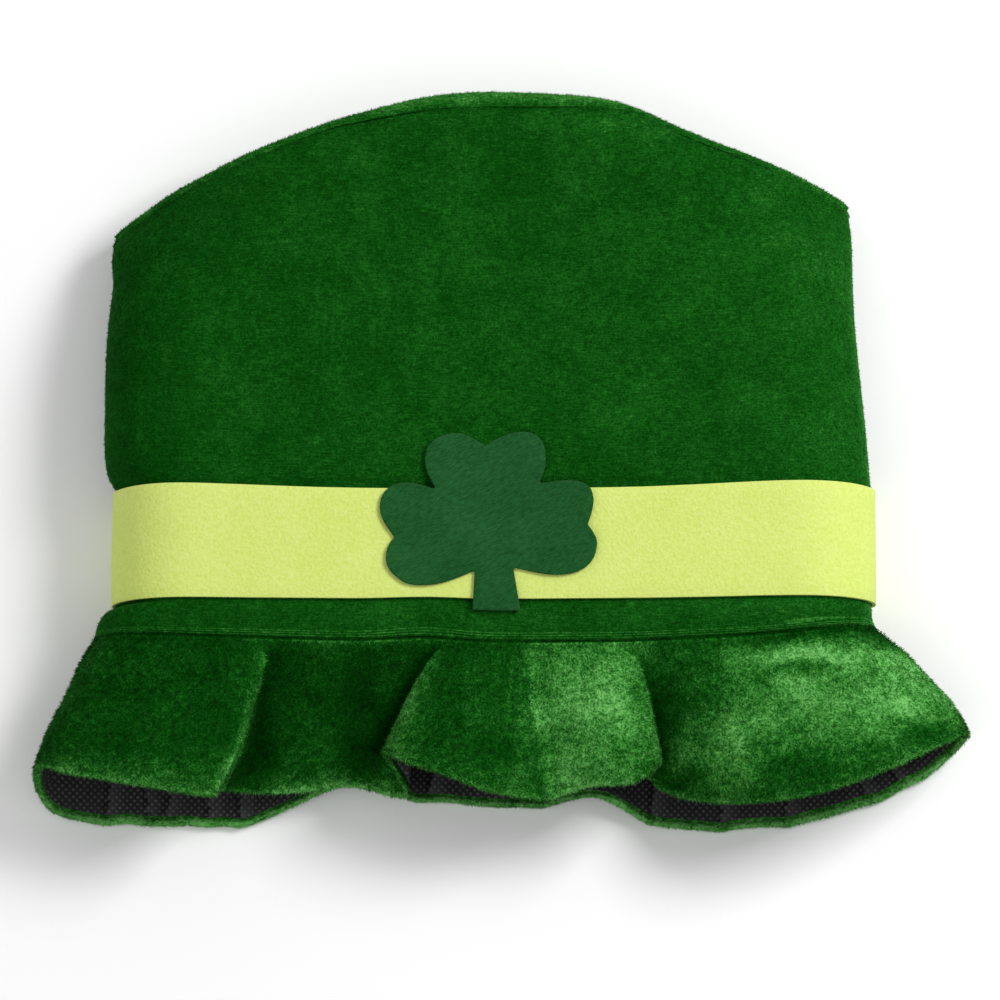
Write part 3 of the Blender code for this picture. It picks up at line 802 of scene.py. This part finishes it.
def nonwoven(name):
    """Black nonwoven cloth with a diagonal grid of embossed dots, painted lighter as highlights, and the
    painted light and shade of its creases.
    """
    made, tree, shader = new_material(name)
    place = add(tree, "TexCoord", {})["Object"]
    upright = add(tree, "Mapping", {"Vector": place, "Rotation": (0, math.radians(90), 0)})[0]
    facing = add(tree, "SeparateXYZ", {0: add(tree, "NewGeometry", {})["Normal"]})
    level = add(tree, "Math", {0: facing["Z"]}, operation="ABSOLUTE")[0]
    lies_flat = add(tree, "Math", {0: level, 1: LEVEL_FROM}, operation="GREATER_THAN")[0]
    on_side = add(tree, "Math", {0: 1, 1: lies_flat}, operation="SUBTRACT")[0]
    flat_dots = add(tree, "Math", {0: dot_grid(tree, place), 1: lies_flat}, operation="MULTIPLY")[0]
    side_dots = add(tree, "Math", {0: dot_grid(tree, upright), 1: on_side}, operation="MULTIPLY")[0]
    dots = total_of(tree, flat_dots, side_dots)
    fibres = uneven(tree, place, STRAND_SCALE, detail=3, amount=0.5)
    clouds = uneven(tree, place, LINING_CLOUD_SCALE, detail=2, amount=0.9)
    # The embossed dots are painted lighter, unevenly, as highlights on their raised tops
    pressed = total_of(tree, DOT_LIGHT, clouds)
    painted_dot_highlights = add(tree, "Math", {0: dots, 1: pressed}, operation="MULTIPLY")[0]
    # Painted light and shade of the creases' facets
    folded = add(tree, "Attribute", {}, attribute_name="crease_light_shade")["Fac"]
    painted_crease_share = add(tree, "Math", {0: folded, 1: CREASE_PAINTED_LIGHT_AND_SHADE}, operation="MULTIPLY")[0]
    shade = total_of(tree, LINING_SHADE, painted_dot_highlights, fibres, painted_crease_share)
    mixed = blend(tree, shade, CLOTH_BLACK, CLOTH_GREY)
    dress(tree, shader, mixed, total_of(tree, dots, fibres), DOT_RELIEF, LINING_FINISH)
    return made


lining.data.materials.append(nonwoven("lining_cloth"))
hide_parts("brim_lining")
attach(lining, "root")

# Pile
# The loose fibres of the velour, which stand out of its knit, longer on the brim than on the
# crown. Each is a thin closed spike, and they lean together where the nap is brushed over.
PILE_WIDTH = 0.00042
PILE_SUNK = 0.0002
PRESSED_FLAT = 0.0001
TIP_LIGHT = 0.10
ROOT_SHADE = 0.12
COMBED = np.array((0.3, -0.5, 0))
STANDING_LEAN = 0.4
BRUSHED_LEAN = 1.4
UNRULY = 0.30
LENGTHS = (0.6, 1.3)
OWN_SHADE = 0.07
BRUSHED_SHADE = 0.12
COVERED_REACH = 0.0012
TOP_FRINGE = 0.0020
LIP_FRINGE = 0.0018
SWIRL_SCALE = 40
SHORTEST = 1e-6
HEM_FROM = 0.3
FACES_UP = 0.05

# How thickly the fibres stand on each part, beside 1 on an outer face
FRONT_HEM_MORE = 2.0
BACK_HEM_MORE = 1.5
FRINGE_MORE = 3
PRESSED_SHARE = 0.1
CROWN_BACK_SHARE = 0.55
PANEL_SHARE = 0.15
PANEL_ABOVE = 0.2


def grow_pile(name, wall, weight_at, step_at=None, *, count, length, seed):
    """Fibres spread over a wall by weight, as one mesh of closed spikes."""
    chance = np.random.default_rng(seed)
    mesh = wall.data
    mesh.calc_loop_triangles()
    points = np.empty(len(mesh.vertices) * 3, np.float32)
    normals = np.empty(len(mesh.vertices) * 3, np.float32)
    lays = np.empty(len(mesh.vertices), np.float32)
    corners = np.empty(len(mesh.loop_triangles) * 3, np.int32)
    mesh.vertices.foreach_get("co", points)
    mesh.vertices.foreach_get("normal", normals)
    mesh.attributes["lay"].data.foreach_get("value", lays)
    mesh.loop_triangles.foreach_get("vertices", corners)
    points = points.reshape(-1, 3).astype(float)
    normals = normals.reshape(-1, 3).astype(float)
    corners = corners.reshape(-1, 3)
    weights = np.array([weight_at(v.index, v.co, v.normal) for v in mesh.vertices])
    a, b, c = (points[corners[:, k]] for k in range(3))
    areas = np.linalg.norm(np.cross(b - a, c - a), axis=1) / 2
    shares = areas * weights[corners].mean(1)
    picked = chance.choice(len(corners), count, p=shares / shares.sum())
    u, v = chance.random((2, count, 1))
    folded = u + v > 1
    u, v = np.where(folded, 1 - u, u), np.where(folded, 1 - v, v)
    mixing = np.concatenate([1 - u - v, u, v], axis=1)[:, :, None]
    roots = (points[corners[picked]] * mixing).sum(1)
    ups = (normals[corners[picked]] * mixing).sum(1)
    ups /= np.linalg.norm(ups, axis=1)[:, None]
    lay = (lays[corners[picked]] * mixing[:, :, 0]).sum(1)
    # Painted light and shadow along the lobes' edges, and the nap line, carried on into the fibres on the
    # front
    if step_at is not None:
        lay += [step_at(Vector(p)) if up[2] > 0 else 0 for p, up in zip(roots, ups)]
    swirl = np.array([noise.noise_vector(Vector(p) * SWIRL_SCALE) for p in roots])
    comb = swirl + COMBED
    comb -= ups * (comb * ups).sum(1)[:, None]
    comb /= np.maximum(np.linalg.norm(comb, axis=1), SHORTEST)[:, None]
    brushed = np.clip(lay, 0, 1)
    lean = (STANDING_LEAN + BRUSHED_LEAN * brushed)[:, None]
    ways = ups + comb * lean + chance.normal(0, UNRULY, (count, 3))
    ways /= np.linalg.norm(ways, axis=1)[:, None]
    sides = np.cross(ups, comb)
    tips = roots + ways * length * chance.uniform(*LENGTHS, (count, 1))
    tips[:, 2] = np.maximum(tips[:, 2], PRESSED_FLAT)
    base = roots - ups * PILE_SUNK
    rim = [
        base + (comb * math.cos(turn) + sides * math.sin(turn)) * PILE_WIDTH / 2
        for turn in (0, math.tau / 3, 2 * math.tau / 3)
    ]
    spikes = np.stack([*rim, tips], axis=1).reshape(-1, 3)
    first = np.arange(count)[:, None] * 4
    faces = np.concatenate([first + f for f in ((0, 1, 3), (1, 2, 3), (2, 0, 3), (2, 1, 0))], axis=0)
    made = bpy.data.meshes.new(name)
    made.from_pydata(spikes.tolist(), [], faces.tolist())
    own = chance.normal(0, OWN_SHADE + BRUSHED_SHADE * brushed, count)
    shade = np.stack([lay + own - ROOT_SHADE] * 3 + [lay + own + TIP_LIGHT], axis=1)
    stored = made.attributes.new("lay", "FLOAT", "POINT")
    stored.data.foreach_set("value", shade.reshape(-1).astype(np.float32))
    made.shade_smooth()
    made.normals_split_custom_set_from_vertices(np.repeat(ups, 4, axis=0).tolist())
    pile = bpy.data.objects.new(name, made)
    bpy.context.collection.objects.link(pile)
    made.materials.append(wall.data.materials[0])
    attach(pile, "root")
    return pile


lining_surface = surface_of("brim_lining")
band_surface = surface_of("hat_band")
hem_share = np.empty(len(brim.data.vertices), np.float32)
brim.data.attributes["hem"].data.foreach_get("value", hem_share)


def shows(i, place):
    """1 on the brim's outer face and its hem, 0 on the face that the lining covers."""
    covered = lining_surface.find_nearest(place, COVERED_REACH)[0] is not None
    return 0 if covered and hem_share[i] < HEM_FROM else 1


def on_front(i, place, normal):
    """The lobes of the brim, thickest along the hem."""
    return shows(i, place) * (normal.z > FACES_UP) * (1 + FRONT_HEM_MORE * hem_share[i])


def on_back(i, place, normal):
    """The back of the brim, which lies on the floor, thickest along the hem."""
    return shows(i, place) * (normal.z <= FACES_UP) * (1 + BACK_HEM_MORE * hem_share[i])


def on_crown(i, place, normal):
    """The crown's outer face, apart from what the band covers and the strip pressed by the seam."""
    if faces_in(place, normal) or band_surface.find_nearest(place, COVERED_REACH)[0] is not None:
        return 0
    if pressed_by_seam[i] > 0:
        return PRESSED_SHARE
    by_top = top_surface.find_nearest(place, TOP_FRINGE)[0] is not None
    return (1 if normal.z > 0 else CROWN_BACK_SHARE) * (FRINGE_MORE if by_top else 1)


def on_lip(i, place, normal):
    """The lip that shows above the top seam, thickest where it meets the crown."""
    by_crown = crown_surface.find_nearest(place, LIP_FRINGE)[0] is not None
    outside = place.z > cad_box[1].z * PANEL_ABOVE
    return (PANEL_SHARE + max(0, normal.y)) * outside * (FRINGE_MORE if by_crown else 1)


pressed_by_seam = np.empty(len(crown.data.vertices), np.float32)
crown.data.attributes["seam"].data.foreach_get("value", pressed_by_seam)
piles = [
    grow_pile(
        "brim_pile_front", brim, on_front, fold_light_shade_and_nap_at, count=48000, length=0.0013, seed=1
    ),
    grow_pile("brim_pile_back", brim, on_back, count=26000, length=0.0010, seed=2),
    grow_pile("crown_pile", crown, on_crown, count=48000, length=0.0008, seed=3),
    grow_pile("top_pile", top, on_lip, count=16000, length=0.0010, seed=4),
]

# Lie of the hat
# The finished hat is soft, so its corners, sides and hem lie a few millimetres off the lines
# that its pieces are cut to. All of its cloth moves together there, and no seam opens.
PUCKER = 0.0011
PUCKER_HALF = 0.009
PUCKER_HIGH = 0.010
PUCKER_HIGH_FADE = 0.004
PUCKER_FROM = -0.108
PUCKER_FROM_FADE = 0.010

# Where the cloth lies off: middle, half sizes across and along, how far it moves across and along
SETTLED = (
    ((-0.1450, 0.0800), 0.022, 0.010, (-0.0026, 0)),
    ((-0.1460, 0.0400), 0.030, 0.045, (-0.0013, 0)),
    ((-0.1460, -0.0450), 0.030, 0.020, (-0.0008, 0)),
    ((0.1300, 0.0880), 0.022, 0.018, (0.0021, 0)),
    ((-0.1130, 0.1060), 0.019, 0.020, (0, -0.0024)),
    ((0.0750, 0.1200), 0.036, 0.022, (0, -0.0012)),
    ((-0.1640, -0.0880), 0.024, 0.018, (0.0031, 0)),
    ((0.1610, -0.0820), 0.020, 0.010, (-0.0026, 0)),
    ((0.1390, -0.0665), 0.016, 0.0035, (0.0028, 0)),
    ((-0.1250, -0.0080), 0.045, 0.030, (0, 0.0018)),
    ((0.1220, -0.0200), 0.055, 0.038, (0, 0.0027)),
    ((0.1050, -0.0735), 0.045, 0.010, (0, -0.0026)),
    ((-0.0280, -0.0680), 0.016, 0.010, (0, 0.0020)),
    ((-0.0985, -0.1150), 0.012, 0.022, (0.0024, 0)),
    ((-0.0920, -0.1360), 0.014, 0.010, (0, -0.0014)),
    ((-0.0380, -0.1300), 0.010, 0.010, (0, -0.0016)),
    ((0.0380, -0.1320), 0.012, 0.010, (0, 0.0016)),
    ((0.0600, -0.1350), 0.022, 0.010, (0, -0.0022)),
    ((0.1700, -0.1060), 0.016, 0.012, (0, 0.0015)),
    ((-0.1720, -0.1180), 0.012, 0.010, (0.0012, 0)),
)


def settle(piece):
    """Move a piece's cloth to where the soft hat lies, with its hem pushed out by the creases."""
    places = np.empty(len(piece.data.vertices) * 3, np.float32)
    piece.data.vertices.foreach_get("co", places)
    places = places.reshape(-1, 3)
    x, y, z = places.T.astype(float)
    moved = np.zeros((len(places), 2))
    for (middle_x, middle_y), across, up, way in SETTLED:
        away = ((x - middle_x) / across) ** 2 + ((y - middle_y) / up) ** 2
        moved += np.exp(-away)[:, None] * np.array(way)
    nearest = np.min([abs(x - crease) for crease, slant in LINING_CREASES], axis=0)
    at_hem = np.clip((PUCKER_HIGH - z) / PUCKER_HIGH_FADE, 0, 1)
    at_hem *= np.clip((PUCKER_FROM - y) / PUCKER_FROM_FADE, 0, 1)
    moved[:, 1] -= PUCKER * np.maximum(0, 1 - nearest / PUCKER_HALF) * at_hem
    places[:, :2] += moved
    piece.data.vertices.foreach_set("co", places.reshape(-1))
    piece.data.update()


for piece in (crown, top, band, shamrock, brim, lining, *piles):
    settle(piece)

# Studio
# A pale floor under soft light, and the camera almost straight above the hat, as the
# photograph has it. None of it is part of the hat.
FRAME_WIDTH = 0.375
CAMERA_AWAY = 3.0
CAMERA_UP = math.radians(81)
AIM = Vector((0.0002, -0.0167, 0.025))
SENSOR = 0.036
FLOOR_SIZE = 30
FLOOR_BELOW = 0.0002
FLOOR_COLOUR = (0.93, 0.93, 0.93, 1)
VIEW_ENDS = 100
SKY_STRENGTH = 0.55

bpy.ops.mesh.primitive_plane_add(size=FLOOR_SIZE, location=(0, 0, -FLOOR_BELOW))
floor = bpy.context.object
floor.name = "floor"
floor_paint, _, floor_shader = new_material("floor_white")
floor_shader.inputs["Base Color"].default_value = FLOOR_COLOUR
floor_shader.inputs["Roughness"].default_value = 0.9
floor.data.materials.append(floor_paint)

world = bpy.data.worlds.new("studio_sky")
world.use_nodes = True
world.node_tree.nodes["Background"].inputs["Color"].default_value = (1, 1, 1, 1)
world.node_tree.nodes["Background"].inputs["Strength"].default_value = SKY_STRENGTH
bpy.context.scene.world = world


def soft_light(name, place, size, power):
    """A square light that faces the hat."""
    lamp = bpy.data.lights.new(name, "AREA")
    lamp.size = size
    lamp.energy = power
    made = bpy.data.objects.new(name, lamp)
    bpy.context.collection.objects.link(made)
    made.location = place
    made.rotation_mode = "QUATERNION"
    made.rotation_quaternion = Vector(place).to_track_quat("Z", "Y")


soft_light("key_light", place=(1.0, 0.55, 1.2), size=0.6, power=21)
soft_light("fill_light", place=(-1.0, -0.6, 1.2), size=1.2, power=4)

camera_data = bpy.data.cameras.new("camera")
camera_data.sensor_width = SENSOR * 1000
camera_data.lens = SENSOR * 1000 * CAMERA_AWAY / FRAME_WIDTH
camera_data.clip_end = VIEW_ENDS
camera = bpy.data.objects.new("camera", camera_data)
bpy.context.collection.objects.link(camera)
back = Vector((0, -math.cos(CAMERA_UP), math.sin(CAMERA_UP)))
camera.location = AIM + back * CAMERA_AWAY
camera.rotation_mode = "QUATERNION"
camera.rotation_quaternion = back.to_track_quat("Z", "Y")
bpy.context.scene.camera = camera
bpy.context.scene.view_settings.view_transform = "Standard"
